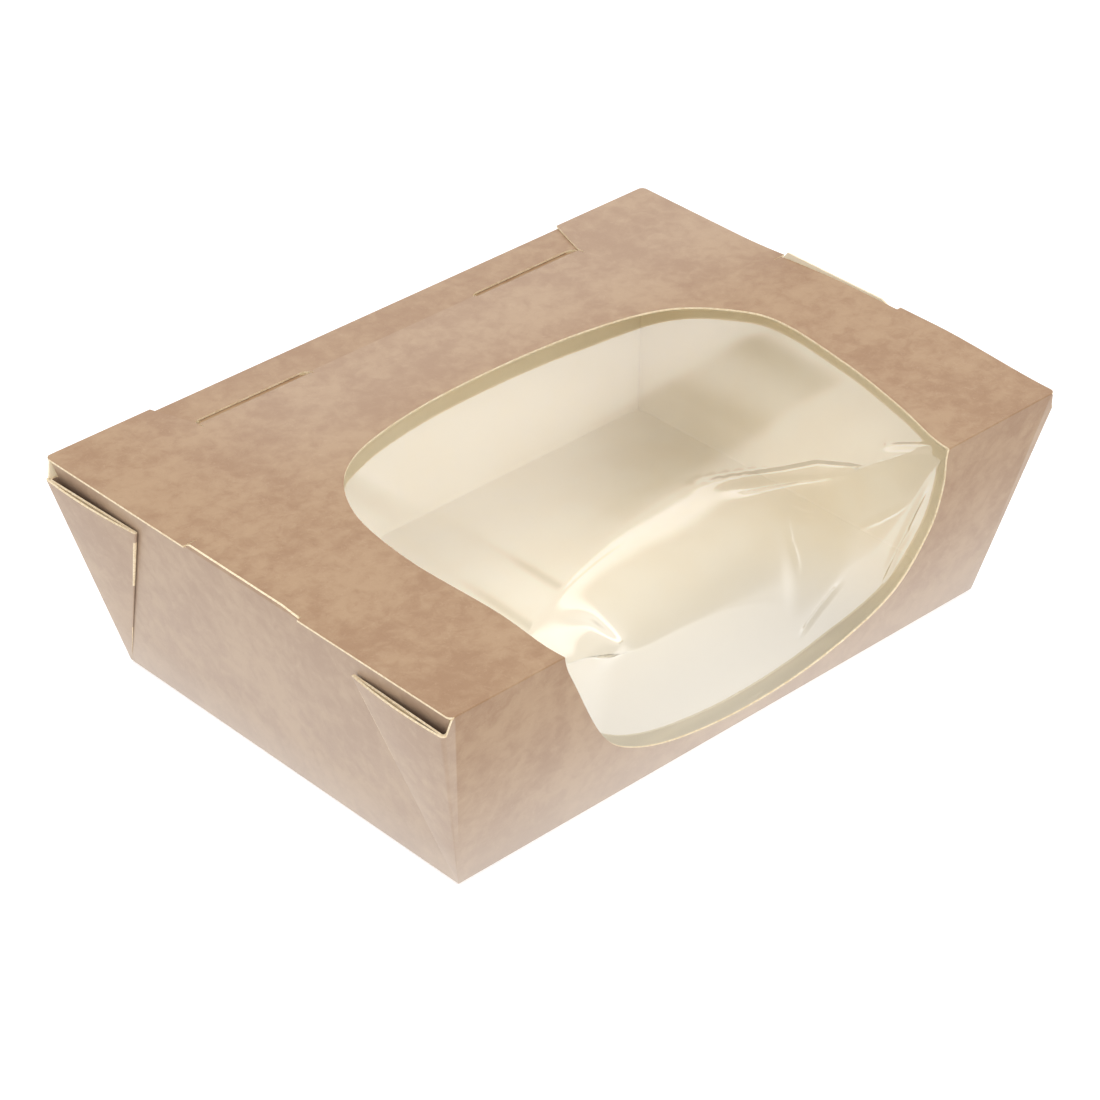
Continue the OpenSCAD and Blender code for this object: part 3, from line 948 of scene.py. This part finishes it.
@dataclass(frozen=True)
class Ridge:
    """A fold or a wave of the film along a line of unfolded places (x, v)."""

    line: Pairs
    height: float
    width: float
    crisp: float = 0.0
    fade: float = 0.35

    def lift(self, x: np.ndarray, v: np.ndarray) -> np.ndarray:
        """Outward lift: a bell across the line, or a tent where it is crisp, that fades in and
        out at the line's ends.

        Args:
            x: places along the front fold.
            v: distances from the fold, above zero on the lid.

        Returns:
            The lift in millimetres, of the same shape.
        """
        nodes = np.array(self.line)
        steps = np.linalg.norm(np.diff(nodes, axis=0), axis=1)
        marks = np.concatenate([[0.0], np.cumsum(steps)]) / steps.sum()
        nearest, along = np.full(x.shape, np.inf), np.zeros(x.shape)
        for a, b, first, last in zip(nodes[:-1], nodes[1:], marks[:-1], marks[1:]):
            run = b - a
            share = np.clip(((x - a[0]) * run[0] + (v - a[1]) * run[1]) / (run @ run), 0, 1)
            away = np.hypot(x - a[0] - run[0] * share, v - a[1] - run[1] * share)
            along = np.where(away < nearest, first + (last - first) * share, along)
            nearest = np.minimum(away, nearest)
        across = nearest / self.width
        bell = np.exp(-2 * across * across)
        tent = np.clip(1 - across, 0, None)
        fade = max(self.fade, 1e-6)
        ends = smoothstep(along / fade) * smoothstep((1 - along) / fade) if self.fade else 1.0
        return self.height * ends * (bell * (1 - self.crisp) + tent * self.crisp)


WRINKLES = (
    # Pleat from the lid's middle to the right end of the fold: crisp upper edge, hollow below
    Ridge(
        ((3, 31), (16.5, 24.5), (25.5, 20), (33, 17), (37.5, 11.5), (41.5, 3.5), (49.5, -8)),
        0.75, 2.8, 1.0, 0.2,
    ),
    Ridge(((8, 26), (18, 19.5), (27, 14.5), (34, 8), (40, 1)), -1.1, 3.6, 0.3, 0.3),
    # Shallow groove along the crest
    Ridge(((-52, 17), (-40, 21), (-31, 23), (-18, 25.5), (-6, 27)), -0.09, 1.6, 0.3),
    # Fine sharp creases on the crest
    Ridge(((19.5, 8), (18, -5.5), (19.5, -19)), 0.6, 1.4, 1.0),
    Ridge(((19.5, 7), (24, 0), (29, -5)), 0.55, 1.3, 1.0),
    Ridge(((36, -13), (43, -14), (52, -13)), 0.7, 1.5, 1.0),
    # Folds along the window's lower right edge
    Ridge(((21.5, -42.5), (27, -36), (34.4, -29)), -0.5, 2.0, 1.0, 0.3),
    Ridge(((57, -8), (53.5, -18), (50.5, -28), (49, -39)), 0.5, 1.8, 0.8),
    Ridge(((49, -40), (51.5, -30), (56, -21)), -0.35, 1.6, 0.6),
    # Dent with a bright rim near the left end of the fold
    Ridge(((-48, 4), (-45, -4)), 1.5, 8.0, 0.0, 0.0),
    # Short folds that spread from the right end of the fold
    Ridge(((60, 3), (55, 8), (49, 13)), 0.4, 1.8, 0.6),
    Ridge(((61, -2), (56, 1), (50, 3)), 0.3, 1.8, 0.6),
)


@dataclass
class WindowFilm:
    """Clear film glued inside the card. It sinks a little between its glued rim and the
    window's edge, less towards both ends, leaves the card near the front fold and cuts the
    corner in a soft curve, with folds and wrinkles where it is slack. Its grid is made of
    spans (first, last, count), finer where the crisp folds are."""

    box: BoxForm
    window: WindowForm
    lid: LidCard
    ridges: tuple[Ridge, ...] = WRINKLES
    thickness: float = 0.06
    margin: float = 8.0
    glue: float = 0.03
    free_run: float = 4.0
    hinge_half: float = 5.0
    sink: float = 1.95
    right_loss: float = 0.9
    right_from: float = 30.0
    right_run: float = 36.0
    left_loss: float = 0.7
    left_from: float = -42.0
    left_run: float = 20.0
    spans_x: tuple[tuple[float, float, int], ...] = (
        (-72, 9, 82), (10, 61.66, 124), (62, 78, 16),
    )
    spans_v: tuple[tuple[float, float, int], ...] = (
        (-56.5, -26, 38), (-25.5, 23.55, 110), (24.5, 106.5, 56),
    )
    wall_reach: Pairs = (
        (-68, 3), (-61, 3.5), (-54, 5.5), (-47, 9.5), (-39, 13), (-22, 15), (-7, 17.5), (4, 22),
        (12, 28), (18, 35), (24, 34), (33, 27), (44, 24), (52, 14), (56, 7), (60, 4),
    )
    lid_reach: Pairs = (
        (-70, 8), (-63, 12), (-57, 15.5), (-45, 20.5), (-30, 25.5), (-15, 29), (0, 30.5),
        (8, 29.5), (16, 25.5), (25, 19), (34, 13), (44, 9), (59, 5),
    )
    wall_handle: Pairs = ((-63, 0.3), (0, 0.45), (16, 0.45), (30, 0.3))
    lid_handle: Pairs = (
        (-63, 0.26), (-40, 0.3), (-25, 0.38), (0, 0.6), (20, 0.6), (34, 0.45), (59, 0.4),
    )

    def base_surface(self, x: np.ndarray, v: np.ndarray) -> np.ndarray:
        """Film without wrinkles at unfolded places. Beyond its reach from the fold it lies
        along the card, and nearer it follows the cubic that leaves both faces there, with a
        handle on each face: the shorter the handle, the tighter the turn.

        Args:
            x: places along the front fold.
            v: distances from the fold, above zero on the lid.

        Returns:
            Points of shape (..., 3).
        """
        box = self.box
        below, above = eased(x, self.wall_reach), eased(x, self.lid_reach)
        slope = (box.top_width - box.base_width) / 2 / box.height
        down = np.array([slope, -1.0]) / math.hypot(slope, 1.0)
        across = np.array([1.0, 0.0])
        inner_y = -float(box.half_width(box.height - box.card)) + box.card * box.long_slope
        corner = np.array([inner_y, box.height - box.card - self.glue])
        s = np.clip((v + below) / (above + below), 0, 1)[..., None]
        first, last = down * below[..., None], across * above[..., None]
        second = first * (1 - eased(x, self.wall_handle))[..., None]
        third = last * (1 - eased(x, self.lid_handle))[..., None]
        place = corner + (1 - s) ** 3 * first + 3 * (1 - s) ** 2 * s * second
        place = place + 3 * (1 - s) * s * s * third + s**3 * last
        place = place + across * np.maximum(v - above, 0)[..., None]
        place = place + down * np.maximum(-v - below, 0)[..., None]
        tangent = (1 - s) ** 2 * (second - first) + 2 * (1 - s) * s * (third - second)
        tangent = tangent + s * s * (last - third)
        tangent /= np.linalg.norm(tangent, axis=-1, keepdims=True)
        normal = joined(-tangent[..., 1], tangent[..., 0])
        depth = self.window.depth_inside(x, v)
        sink = self.sink - self.right_loss * smoothstep((x - self.right_from) / self.right_run)
        sink = sink * (1 - self.left_loss * smoothstep((self.left_from - x) / self.left_run))
        sink = sink * smoothstep((depth + self.margin) / (self.margin - 1))
        place = place - normal * sink[..., None]
        lift = self.lid.height_at(x, place[..., 0]) - box.height
        return joined(x, place[..., 0], place[..., 1] + lift * smoothstep(v / above))

    def surface(self, x: np.ndarray, v: np.ndarray) -> np.ndarray:
        """Film with its folds and waves, which push each point along the base's normal."""
        points = self.base_surface(x, v)
        by_v, by_x = np.gradient(points, axis=0), np.gradient(points, axis=1)
        normal = np.cross(by_x, by_v)
        normal /= np.linalg.norm(normal, axis=-1, keepdims=True)
        lift = sum((ridge.lift(x, v) for ridge in self.ridges), np.zeros_like(x))
        free = smoothstep(self.window.depth_inside(x, v) / self.free_run + 0.5)
        return points + normal * (lift * free)[..., None]

    def build(self, material: bpy.types.Material) -> bpy.types.Object:
        """Makes the film as one wrinkled sheet across the front fold."""
        x, v = (
            np.concatenate([np.linspace(*span) for span in spans])
            for spans in (self.spans_x, self.spans_v)
        )
        grid_v, grid_x = np.meshgrid(v, x, indexing="ij")
        sheet = Sheet(self.thickness)
        sheet.add_grid(self.surface(grid_x, grid_v))
        piece = sheet.build("window_film", [material], smooth_up_to=60.0, back=0, rim=0)
        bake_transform(piece)
        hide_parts("window_film_front", "window_film_lid")
        return piece


class Nodes:
    """Short hand for building the node tree of a material or a world."""

    def __init__(self, holder: bpy.types.ID, output: str = "OutputMaterial") -> None:
        """Starts an empty tree with an output node.

        Args:
            holder: the new material or world.
            output: type of its output node.
        """
        self.holder = holder
        holder.use_nodes = True
        self.tree = holder.node_tree
        self.tree.nodes.clear()
        self.output = self.tree.nodes.new("ShaderNode" + output)
        self.object_place = None

    @classmethod
    def material(cls, name: str) -> "Nodes":
        """Starts a new material."""
        return cls(bpy.data.materials.new(name))

    def add(self, kind: str, settings: dict | None = None, **inputs: object) -> bpy.types.Node:
        """Adds a node.

        Args:
            kind: the node's type without its ShaderNode prefix.
            settings: attributes of the node itself.
            inputs: a socket to link or a value for each input, by its name with underscores
                for spaces, or by its number as i0, i1 and so on.

        Returns:
            The node.
        """
        node = self.tree.nodes.new("ShaderNode" + kind)
        for key, value in (settings or {}).items():
            setattr(node, key, value)
        for key, value in inputs.items():
            numbered = key[0] == "i" and key[1:].isdigit()
            self.feed(node.inputs[int(key[1:]) if numbered else key.replace("_", " ")], value)
        return node

    def feed(self, socket: bpy.types.NodeSocket, value: object) -> None:
        """Links a socket to an input, or sets the input's value."""
        if isinstance(value, bpy.types.NodeSocket):
            self.tree.links.new(value, socket)
        else:
            socket.default_value = value

    def noise(self, scale: float, detail: float, roughness: float = 0.5,
              distortion: float = 0.0) -> bpy.types.NodeSocket:
        """Noise on Object coordinates, with the scale in cells per metre."""
        node = self.add("TexNoise", Vector=self.coordinates(), Scale=scale, Detail=detail,
                        Roughness=roughness, Distortion=distortion)
        return node.outputs["Fac"]

    def coordinates(self) -> bpy.types.NodeSocket:
        """The piece's own coordinates in metres."""
        if self.object_place is None:
            self.object_place = self.add("TexCoord").outputs["Object"]
        return self.object_place

    def place(self) -> list[bpy.types.NodeSocket]:
        """The three Object coordinates in millimetres."""
        parts = self.add("SeparateXYZ", Vector=self.coordinates()).outputs
        return [self.times(part, 1 / MM) for part in parts]

    def math(self, operation: str, first: object, second: object = 0.0,
             clamp: bool = False) -> bpy.types.NodeSocket:
        """One math operation on two values or sockets."""
        node = self.add("Math", {"operation": operation, "use_clamp": clamp}, i0=first, i1=second)
        return node.outputs[0]

    def times(self, *factors: object) -> bpy.types.NodeSocket:
        """Product of values or sockets."""
        return reduce(lambda first, second: self.math("MULTIPLY", first, second), factors)

    def plus(self, *terms: object) -> bpy.types.NodeSocket:
        """Sum of values or sockets."""
        return reduce(lambda first, second: self.math("ADD", first, second), terms)

    def level(self, value: object, source: tuple, target: tuple) -> bpy.types.NodeSocket:
        """Maps a value evenly from one range onto another and holds it there."""
        node = self.add("MapRange", Value=value, From_Min=source[0], From_Max=source[1],
                        To_Min=target[0], To_Max=target[1])
        return node.outputs["Result"]

    def ramp(self, value: object, low: float, high: float) -> bpy.types.NodeSocket:
        """Maps a value from low..high softly onto 0..1."""
        node = self.add("MapRange", {"interpolation_type": "SMOOTHSTEP"}, Value=value,
                        From_Min=low, From_Max=high)
        return node.outputs["Result"]

    def mix(self, share: object, first: object, second: object) -> bpy.types.NodeSocket:
        """Mixes two colours."""
        node = self.add("Mix", {"data_type": "RGBA"})
        for place, value in ((0, share), (6, first), (7, second)):
            self.feed(node.inputs[place], value)
        return node.outputs[2]

    def bump(self, height: bpy.types.NodeSocket, strength: float) -> bpy.types.NodeSocket:
        """Normal of a relief up to a tenth of a millimetre deep."""
        node = self.add("Bump", Height=height, Strength=strength, Distance=MM / 10)
        return node.outputs["Normal"]

    def finish(self, shader: bpy.types.Node) -> bpy.types.ID:
        """Links the shader to the output and gives the material or world back."""
        self.tree.links.new(shader.outputs[0], self.output.inputs["Surface"])
        return self.holder

    def solid(self, base: bpy.types.NodeSocket, roughness: float,
              **inputs: object) -> bpy.types.Material:
        """Ends a material as a solid surface, with further inputs named as add takes them."""
        return self.finish(
            self.add("BsdfPrincipled", Base_Color=base, Roughness=roughness, **inputs)
        )


def colour(red: int, green: int, blue: int) -> tuple[float, float, float, float]:
    """A colour from its 0..255 display values, made linear for the shaders."""
    share = np.array([red, green, blue]) / 255
    linear = np.where(share <= 0.04045, share / 12.92, ((share + 0.055) / 1.055) ** 2.4)
    return (*linear.tolist(), 1.0)


@dataclass(frozen=True)
class KraftFinish:
    """Uncoated kraft outside: brown, blotched at two scales, with fine stringy fibres. A pale
    painted sheen, light reflected from the bright floor and room, grows towards the foot of
    the walls and on the lid towards the lock. A noise is given by its scale in cells per
    metre, detail, roughness and distortion, here and in the finishes below.
    """

    pale: tuple = colour(158, 129, 99)
    deep: tuple = colour(142, 110, 81)
    fibre_dark: tuple = colour(127, 93, 64)
    fibre_pale: tuple = colour(184, 158, 129)
    painted_sheen: tuple = colour(226, 219, 212)
    roughness: float = 0.45
    specular: float = 0.3
    wall_painted_sheen: float = 0.4
    end_painted_sheen: float = 0.12
    end_painted_sheen_gain: float = 0.15
    lid_painted_sheen: float = 0.09
    lid_painted_sheen_x: Range = (-90.0, -30.0)
    lid_painted_sheen_y: Range = (0.0, 50.0)
    blotches: tuple = (60, 3, 0.55, 0.2)
    patches: tuple = (260, 4, 0.6, 0.4)
    strings: tuple = (700, 3, 0.6, 2.0)
    pale_strings: tuple = (1000, 2, 0.6, 1.5)
    tone_range: Range = (0.36, 0.64)
    dark_range: Range = (0.55, 0.75)
    dark_share: float = 0.22
    pale_range: Range = (0.56, 0.75)
    pale_share: float = 0.16
    relief: float = 0.25
    rim_levels: Range = (57.0, 56.4)
    lid_levels: Range = (56.4, 56.8)
    box: BoxForm = BoxForm()

    def painted_sheen_share(self, n: Nodes) -> bpy.types.NodeSocket:
        """Share of the painted sheen, a pale veil of reflected light: the wall share times
        (1 - level)^2 on every wall, or if more, on the end walls, the end share plus its gain
        towards the foot. The lid has its own painted sheen behind the box's middle."""
        box = self.box
        x, y, z = n.place()
        below = n.math("SUBTRACT", 1.0, n.math("DIVIDE", z, box.height), clamp=True)
        wall = n.times(below, below, self.wall_painted_sheen)
        flare = (box.top_length - box.base_length) / 2
        face_x = n.plus(n.times(below, -flare), box.top_length / 2)
        beyond = n.math("SUBTRACT", n.math("ABSOLUTE", x), face_x)
        outside = n.ramp(beyond, -2 * box.card, -0.8 * box.card)
        outside = n.times(outside, n.ramp(z, *self.rim_levels))
        end = n.times(outside, n.plus(n.times(below, self.end_painted_sheen_gain), self.end_painted_sheen))
        lid = n.times(n.ramp(z, *self.lid_levels), n.ramp(y, *self.lid_painted_sheen_y))
        lid = n.times(lid, n.ramp(x, *self.lid_painted_sheen_x))
        return n.plus(n.math("MAXIMUM", wall, end), n.times(lid, self.lid_painted_sheen))

    def material(self) -> bpy.types.Material:
        """Builds the finish."""
        n = Nodes.material("kraft_outside")
        blotch, patch, strings, pale_strings = (
            n.noise(*scales)
            for scales in (self.blotches, self.patches, self.strings, self.pale_strings)
        )
        mixed = n.plus(n.times(blotch, 0.5), n.times(patch, 0.5))
        base = n.mix(n.ramp(mixed, *self.tone_range), self.deep, self.pale)
        dark = n.times(n.ramp(strings, *self.dark_range), self.dark_share)
        base = n.mix(dark, base, self.fibre_dark)
        light = n.times(n.ramp(pale_strings, *self.pale_range), self.pale_share)
        base = n.mix(light, base, self.fibre_pale)
        # Painted sheen: a pale veil of reflected light laid over the brown.
        base = n.mix(self.painted_sheen_share(n), base, self.painted_sheen)
        relief = n.plus(n.times(strings, 0.6), n.times(patch, 0.4))
        return n.solid(base, self.roughness, Specular_IOR_Level=self.specular,
                       Normal=n.bump(relief, self.relief))


@dataclass(frozen=True)
class CreamFinish:
    """Cream coated inside: smooth, softly glossy, with faint cloudiness. Painted shade darkens
    it on the base's front part, inside the front wall and under the lid."""

    pale: tuple = colour(252, 241, 217)
    deep: tuple = colour(250, 237, 210)
    # Tones of painted shade: front for the base's front part, the next one under the lid and
    # inside the front wall.
    front: tuple = colour(198, 189, 173)
    painted_cover_shade: tuple = colour(214, 202, 180)
    roughness: float = 0.42
    front_x: Range = (88.0, 45.0)
    front_y: Range = (20.0, -45.0)
    front_z: Range = (6.0, 1.0)
    lid_z: Range = (55.5, 56.2)
    wall_y: Range = (-58.5, -59.5)
    clouds: tuple = (60, 4)
    cloud_range: Range = (0.35, 0.65)
    grain: tuple = (500, 3)
    relief: float = 0.04

    def material(self) -> bpy.types.Material:
        """Builds the finish."""
        n = Nodes.material("cream_inside")
        cloud = n.ramp(n.noise(*self.clouds), *self.cloud_range)
        base = n.mix(cloud, self.deep, self.pale)
        x, y, z = n.place()
        # Painted shade on the front part of the base.
        near = n.times(n.ramp(y, *self.front_y), n.ramp(z, *self.front_z))
        near = n.times(near, n.ramp(x, *self.front_x))
        base = n.mix(near, base, self.front)
        # Painted shade under the lid and inside the front wall.
        painted_cover_shade = n.math("MAXIMUM", n.ramp(z, *self.lid_z), n.ramp(y, *self.wall_y))
        base = n.mix(painted_cover_shade, base, self.painted_cover_shade)
        normal = n.bump(n.noise(*self.grain), self.relief)
        return n.solid(base, self.roughness, Normal=normal)


@dataclass(frozen=True)
class CutFinish:
    """Die-cut edge: the pale board between its two faces, with short fibres."""

    pale: tuple = colour(234, 219, 190)
    deep: tuple = colour(217, 196, 161)
    roughness: float = 0.85
    fibres: tuple = (1500, 3, 0.6)
    fibre_range: Range = (0.35, 0.65)

    def material(self) -> bpy.types.Material:
        """Builds the finish."""
        n = Nodes.material("cut_edge")
        share = n.ramp(n.noise(*self.fibres), *self.fibre_range)
        return n.solid(n.mix(share, self.deep, self.pale), self.roughness)


@dataclass(frozen=True)
class FilmFinish:
    """Clear glossy film: see-through, with a reflection that grows at a slant."""

    index: float = 1.5
    roughness: float = 0.06
    tint: tuple = (0.985, 0.985, 0.975, 1.0)

    def material(self) -> bpy.types.Material:
        """Builds the finish. Two faces that each mirror a share r mirror 2r / (1 + r) together,
        and the outer one stands for both."""
        n = Nodes.material("clear_film")
        clear = n.add("BsdfTransparent", Color=self.tint)
        gloss = n.add("BsdfGlossy", Color=(1, 1, 1, 1), Roughness=self.roughness)
        once = n.add("Fresnel", IOR=self.index).outputs[0]
        both = n.math("DIVIDE", n.times(once, 2.0), n.plus(once, 1.0))
        entering = n.math("SUBTRACT", 1.0, n.add("NewGeometry").outputs["Backfacing"])
        share = n.times(both, entering)
        shader = n.add("MixShader", i0=share, i1=clear.outputs[0], i2=gloss.outputs[0])
        return n.finish(shader)


@dataclass(frozen=True)
class Lamp:
    """Soft box that faces the object: its middle and size in metres, its power in watts."""

    name: str
    middle: tuple[float, float, float]
    size: Range
    power: float

    def add(self) -> None:
        """Hangs it in the scene, where no shiny face mirrors it."""
        data = bpy.data.lights.new(self.name, "AREA")
        data.shape = "RECTANGLE"
        data.size, data.size_y = self.size
        data.energy = self.power
        lamp = bpy.data.objects.new(self.name, data)
        lamp.location = self.middle
        lamp.rotation_euler = Vector(self.middle).to_track_quat("Z", "Y").to_euler()
        lamp.visible_glossy = False
        bpy.context.scene.collection.objects.link(lamp)


@dataclass(frozen=True)
class Studio:
    """White floor, soft lights and the photograph's camera, whose position is in millimetres
    and whose back axis is a direction. Angles are in degrees: a bearing is measured in plan
    from the back towards the right, a height over the floor, and a turn from the back over the
    top to the front. A pair of them is where a painted patch begins and where it is full."""

    back: tuple = (-0.5687, -0.6081, 0.5539)
    position: tuple = (-511.5, -544.5, 518.8)
    focal_px: float = 3761.8
    frame_px: float = 1100.0
    sensor: float = 36.0
    clip: Range = (0.01, 20.0)
    room: float = 1.85
    ground_height: float = 5.0
    left_wall: float = 0.4
    left_bearings: Range = (44.5, 40.5)
    gap: float = -1.1
    gap_middle: Range = (45.3, 33.4)
    gap_reach: Range = (3.1, 3.6)
    gap_edge: Range = (1.0, 0.1)
    skirting: float = -1.4
    skirting_turns: Range = (36.0, 24.0)
    strip: float = 1.6
    strip_turns: tuple[float, float, float, float] = (51.0, 57.0, 82.0, 70.0)
    front_wall: float = -0.4
    front_turns: tuple[float, float, float, float] = (100.0, 150.0, 235.0, 195.0)
    table: float = -0.2
    table_heights: Range = (-28.0, -40.0)
    light_levels: Range = (-0.2, 0.9)
    light: Range = (0.83, 1.19)
    floor_half: float = 3000.0
    floor_z: float = -0.02
    floor_tones: tuple = (colour(225, 225, 225), colour(228, 228, 228))
    floor_noise: tuple = (3, 2, 0.55)
    floor_roughness: float = 0.9
    glow_reach: Range = (0.07, 0.25)
    glow: Range = (0.45, 0.25)
    lamps: tuple[Lamp, ...] = (
        Lamp("overhead", (-0.2, 0.1, 1.1), (0.9, 0.9), 3.5),
        Lamp("front", (-0.35, -1.05, 0.75), (1.1, 0.7), 2.4),
    )

    def camera(self) -> None:
        """Places the camera with no shift, as fitted to the box's corners."""
        data = bpy.data.cameras.new("camera")
        data.sensor_width = self.sensor
        data.lens = self.focal_px / self.frame_px * self.sensor
        data.clip_start, data.clip_end = self.clip
        camera = bpy.data.objects.new("camera", data)
        camera.location = Vector(self.position) * MM
        camera.rotation_euler = Vector(self.back).to_track_quat("Z", "Y").to_euler()
        bpy.context.scene.collection.objects.link(camera)
        bpy.context.scene.camera = camera

    def floor(self) -> None:
        """Adds the pale floor. Its glow is painted light: a little everywhere and most round the
        box, where it fills in the box's shadow.
        """
        n = Nodes.material("floor")
        tone = n.mix(n.noise(*self.floor_noise), *self.floor_tones)
        away = n.add("VectorMath", {"operation": "LENGTH"}, i0=n.coordinates()).outputs["Value"]
        glow = n.level(away, self.glow_reach, self.glow)
        material = n.solid(tone, self.floor_roughness, Emission_Color=(1, 1, 1, 1),
                           Emission_Strength=glow)
        corners = np.array([(-1, -1), (1, -1), (1, 1), (-1, 1)]) * self.floor_half
        points = joined(*corners.T, self.floor_z)
        faces = np.array([[0, 1, 2], [0, 2, 3]])
        floor = make_mesh("floor", points, faces, np.zeros(2), [material], 30.0)
        floor.visible_glossy = False

    def mirrored(self, n: Nodes, way: bpy.types.NodeSocket) -> bpy.types.NodeSocket:
        """What shiny faces mirror, painted by direction: a bright room with a strip lamp over
        the back, a dark gap and a dark foot in the wall behind the right end, brighter left of
        the gap, a dimmer front and a slightly darker table.

        Args:
            n: the world's nodes.
            way: the direction looked in.

        Returns:
            The strength of the mirrored light.
        """
        x, y, z = n.add("SeparateXYZ", Vector=way).outputs
        bearing, height, turn = (
            n.times(angle, 180 / math.pi)
            for angle in (n.math("ARCTAN2", x, y), n.math("ARCSINE", z), n.math("ARCTAN2", z, y))
        )
        turn = n.plus(turn, n.times(n.math("LESS_THAN", turn, -90.0), 360.0))
        right = n.math("GREATER_THAN", bearing, 0.0)
        above = n.times(n.math("GREATER_THAN", height, self.ground_height), right)
        aside, aloft = (
            n.math("DIVIDE", n.math("SUBTRACT", angle, middle), reach)
            for angle, middle, reach in zip((bearing, height), self.gap_middle, self.gap_reach)
        )
        away = n.math("SQRT", n.plus(n.times(aside, aside), n.times(aloft, aloft)))
        strip, front = (
            n.times(n.ramp(turn, *turns[:2]), n.ramp(turn, *turns[2:]))
            for turns in (self.strip_turns, self.front_turns)
        )
        patches = (
            (n.times(n.ramp(bearing, *self.left_bearings), above), self.left_wall),
            (n.ramp(away, *self.gap_edge), self.gap),
            (n.times(n.ramp(turn, *self.skirting_turns), above), self.skirting),
            (strip, self.strip),
            (front, self.front_wall),
            (n.ramp(height, *self.table_heights), self.table),
        )
        return n.plus(self.room, *(n.times(share, strength) for share, strength in patches))

    def surroundings(self) -> bpy.types.World:
        """Studio round the box: diffuse light evenly from above, and for mirrored light the
        painted room."""
        n = Nodes(bpy.data.worlds.new("studio"), "OutputWorld")
        way = n.add("TexCoord").outputs["Generated"]
        level = n.add("SeparateXYZ", Vector=way).outputs["Z"]
        even = n.level(level, self.light_levels, self.light)
        glossy = n.add("LightPath").outputs["Is Glossy Ray"]
        strength = n.plus(n.times(self.mirrored(n, way), glossy),
                          n.times(even, n.math("SUBTRACT", 1.0, glossy)))
        return n.finish(n.add("Background", Color=(1, 1, 1, 1), Strength=strength))

    def build(self) -> None:
        """Sets up camera, floor, world and lamps."""
        self.camera()
        self.floor()
        bpy.context.scene.world = self.surroundings()
        bpy.context.scene.view_settings.view_transform = "Standard"
        for lamp in self.lamps:
            lamp.add()


def main() -> None:
    """Builds the box and its studio."""
    logging.basicConfig(level=logging.INFO, format="%(name)s: %(message)s")
    Studio().build()
    card = [KraftFinish().material(), CreamFinish().material(), CutFinish().material()]
    box, window, lock = BoxForm(), WindowForm(), LockForm()
    lid = LidCard(box, window, lock)
    pieces = [
        TrayCard(box, WebForm(), window, lock).build(card),
        lid.build(card),
        FrontFold(box, window, lid).build(card),
        WindowFilm(box, window, lid).build(FilmFinish().material()),
    ]
    for piece in pieces:
        LOG.info("%s: %d faces", piece.name, len(piece.data.polygons))


if __name__ == "__main__":
    main()
